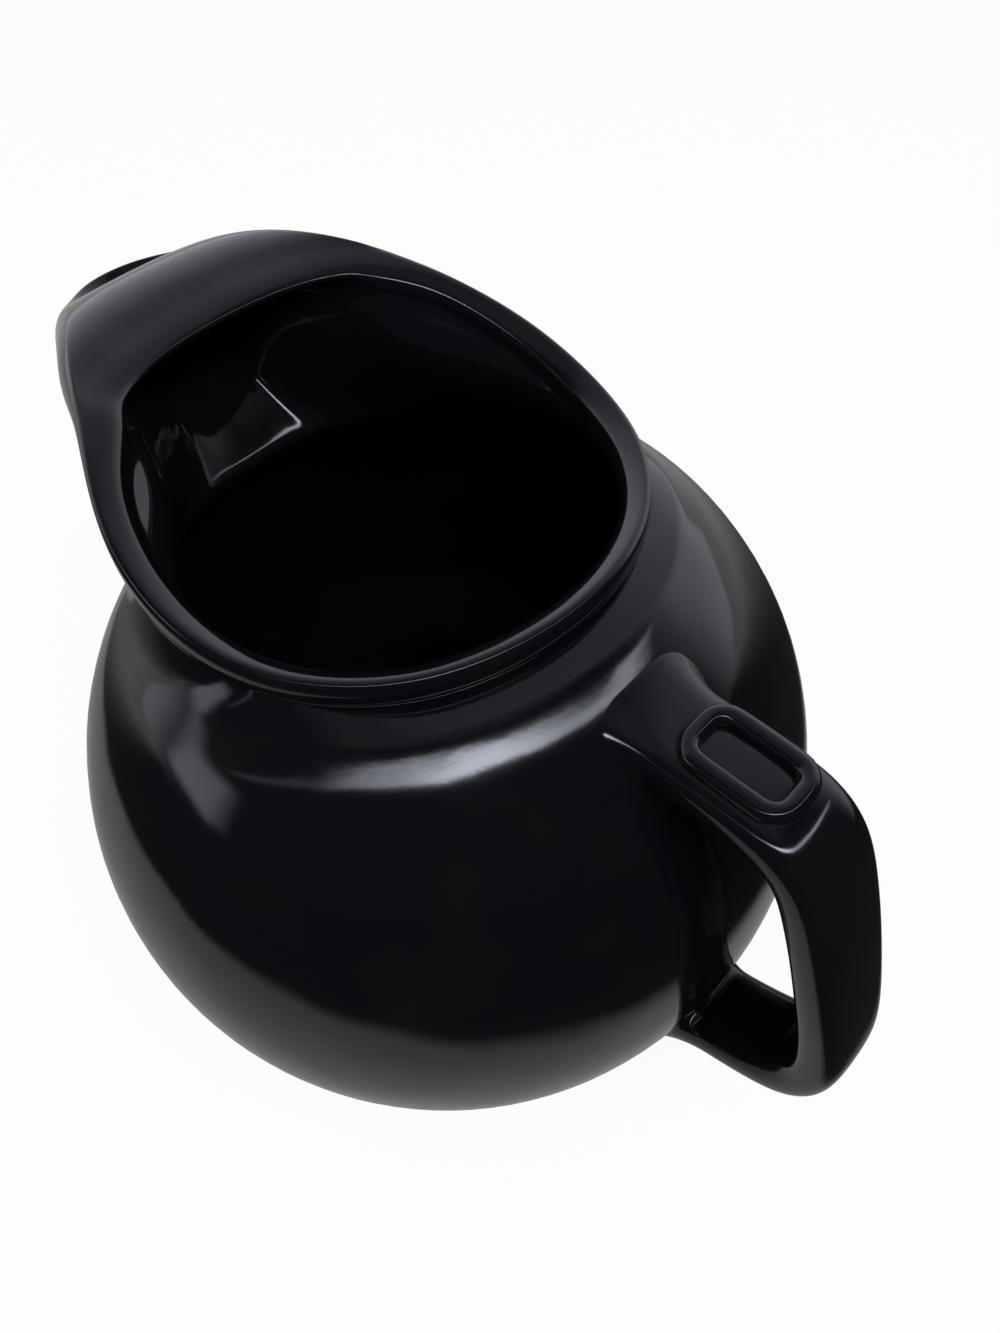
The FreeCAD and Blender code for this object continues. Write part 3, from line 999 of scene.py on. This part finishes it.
def pale_floor(look, toward):
    """A white floor that keeps some of the jug's shadow. For reflected rays it glows in a painted reflection
    instead:
    a sheet of white that ends a hand's length from the jug on the near side, paler behind the jug, in a dim
    room."""
    material = bpy.data.materials.new("pale_floor")
    recipe = Recipe(material)
    glossy, seen = recipe.rays()
    x, y, _ = recipe.axes(recipe.flow(recipe.node("ShaderNodeTexCoord"), "Object"))
    middle = toward * -0.03 + toward.cross(UP) * 0.08 + Vector((AXIS_X, 0, 0))
    apart = ((x - middle.x) * (x - middle.x) + (y - middle.y) * (y - middle.y)) ** 0.5
    along = (x - AXIS_X) * toward.x + y * toward.y
    # Painted reflection: for reflected rays the floor glows in a patch by the jug and a stretch behind it,
    # and dimly elsewhere
    sheet = (1 - apart.over(0.215, 0.25)) * SHEET
    beyond = (1 - along.over(-0.40, -0.10)) * BEYOND
    painted_floor_reflection = recipe.mix(sheet.largest(beyond) + PAINTED_REFLECTION_BASE, (0, 0, 0), (1, 1, 1))
    matt = recipe.node("ShaderNodeBsdfDiffuse", None, Color=opaque(look.floor))
    white = recipe.node(
        "ShaderNodeEmission", None, Color=recipe.mix(glossy, (1, 1, 1), painted_floor_reflection), Strength=1.0)
    mixed = recipe.node("ShaderNodeMixShader", None, Fac=glossy.largest(seen * FLOOR_SEEN))
    recipe.tree.links.new(matt.outputs[0], mixed.inputs[1])
    recipe.tree.links.new(white.outputs[0], mixed.inputs[2])
    recipe.node("ShaderNodeOutputMaterial", None, Surface=recipe.flow(mixed))
    return material


def room(recipe, toward):
    """What the glaze mirrors: a paler wall behind the jug, a dim room with a faint ceiling overhead,
    a long narrow lamp on the near side, and a small window low on the left."""
    way = recipe.flow(recipe.node("ShaderNodeTexCoord"), "Generated")
    x, y, z = recipe.axes(way)
    near = x * toward.x + y * toward.y
    left = x * toward.y - y * toward.x
    high = z.largest(0.1)
    forward = near / high
    aside = left / high
    bend_left = (aside - 1.4).largest(0.0)
    bend_right = (0.2 - aside).largest(0.0)
    line = LAMP_AHEAD - bend_left * bend_left * LAMP_BEND_LEFT - bend_right * bend_right * LAMP_BEND_RIGHT
    off_line = (forward - line).absolute()
    from_middle = (aside + LAMP_BRIGHTEST).absolute()
    ends = aside.over(-1.9, -1.3) * (1 - aside.over(2.5, 3.3)) * z.over(0.12, 0.25)
    left_half = (1 - aside.over(0.4, 1.2)) * LAMP_LEFT_HALF
    brightest = (1 - from_middle.over(0.05, 0.65)) * LAMP_MIDDLE
    lamp = (1 - off_line.over(0.03, 0.085)) * ends * (left_half + brightest + LAMP_EVERYWHERE)
    window = near.over(-0.10, 0.05) * (1 - near.over(0.22, 0.40)) * left.over(0.2, 0.4)
    window = window * z.over(0.0, 0.06) * (1 - z.over(0.18, 0.28)) * WINDOW
    behind = (1 - near.over(-0.40, 0.10)) * BEHIND * (1 - z.over(0.3, 0.9) * 0.65)
    ceiling = z.over(0.80, 0.97) * CEILING
    return behind.largest(ceiling) + lamp + window + DIM_ROOM


def add_lamp(name, spot, aim, size, energy):
    data = bpy.data.lights.new(name, "AREA")
    data.shape = "RECTANGLE"
    data.size, data.size_y = size
    data.energy = energy
    lamp = bpy.data.objects.new(name, data)
    bpy.context.scene.collection.objects.link(lamp)
    lamp.location = spot
    lamp.rotation_euler = (Vector(aim) - Vector(spot)).to_track_quat("-Z", "Y").to_euler()
    lamp.visible_glossy = False


class JUG_OT_stage(bpy.types.Operator):
    """Sets the camera, the lamps, the pale floor and the room that the glaze mirrors"""
    bl_idname = "ball_jug.stage"
    bl_label = "Stage"

    def execute(self, context):
        scene = context.scene
        jug = Jug(scene.jug_vessel)
        look = scene.jug_finish
        data = bpy.data.cameras.new("Photograph")
        data.sensor_width = SENSOR
        data.lens = FOCAL_PIXELS / IMAGE_PIXELS[1] * SENSOR
        data.clip_start = 0.01
        camera = bpy.data.objects.new("Photograph", data)
        camera.matrix_world = camera_matrix(jug)
        scene.collection.objects.link(camera)
        scene.camera = camera
        heart = Vector((AXIS_X, 0, jug.centre_z))
        toward = (camera.matrix_world.translation - heart).xy.normalized().to_3d()
        mesh = bmesh.new()
        bmesh.ops.create_grid(mesh, x_segments=1, y_segments=1, size=FLOOR_HALF_SIZE)
        floor_mesh = bpy.data.meshes.new("floor")
        mesh.to_mesh(floor_mesh)
        mesh.free()
        floor_mesh.materials.append(pale_floor(look, toward))
        floor = bpy.data.objects.new("floor", floor_mesh)
        scene.collection.objects.link(floor)
        world = bpy.data.worlds.new("Studio")
        scene.world = world
        recipe = Recipe(world)
        glossy, seen = recipe.rays()
        strength = seen + (1 - seen) * (glossy * room(recipe, toward) + (1 - glossy) * ROOM_LIGHT)
        tint = recipe.mix(glossy, (1, 1, 1), (0.92, 0.96, 1.08))
        sky = recipe.node("ShaderNodeBackground", None, Color=tint, Strength=strength)
        recipe.node("ShaderNodeOutputWorld", None, Surface=recipe.flow(sky))
        side = toward.cross(UP)
        add_lamp("Window", heart - side * 0.30 + toward * 0.42 + UP * 0.75, heart, (0.34, 0.10), 3.2)
        add_lamp("Bounce", heart + side * 0.75 + toward * 0.10 + UP * 0.35, heart, (0.16, 0.34), 1.6)
        scene.view_settings.view_transform = "Standard"
        return {"FINISHED"}


class JUG_PT_panel(bpy.types.Panel):
    """Lists the jug's pieces"""
    bl_label = "Ball Jug"
    bl_idname = "JUG_PT_panel"
    bl_space_type = "VIEW_3D"
    bl_region_type = "UI"
    bl_category = "Ball Jug"

    def draw(self, context):
        for operator in OPERATORS:
            self.layout.operator(operator.bl_idname)


GROUPS = {"jug_vessel": JUG_PG_vessel, "jug_handle": JUG_PG_handle, "jug_finish": JUG_PG_finish}
OPERATORS = (JUG_OT_vessel, JUG_OT_handle, JUG_OT_thumb_rest, JUG_OT_foot, JUG_OT_stage)


def register():
    for name, group in GROUPS.items():
        bpy.utils.register_class(group)
        setattr(bpy.types.Scene, name, bpy.props.PointerProperty(type=group))
    for thing in (*OPERATORS, JUG_PT_panel):
        bpy.utils.register_class(thing)


def unregister():
    for thing in (*OPERATORS, JUG_PT_panel):
        bpy.utils.unregister_class(thing)
    for name, group in GROUPS.items():
        delattr(bpy.types.Scene, name)
        bpy.utils.unregister_class(group)


def main():
    register()
    bpy.ops.ball_jug.vessel()
    bpy.ops.ball_jug.handle()
    bpy.ops.ball_jug.thumb_rest()
    bpy.ops.ball_jug.foot()
    bpy.ops.ball_jug.stage()


if __name__ == "__main__":
    main()
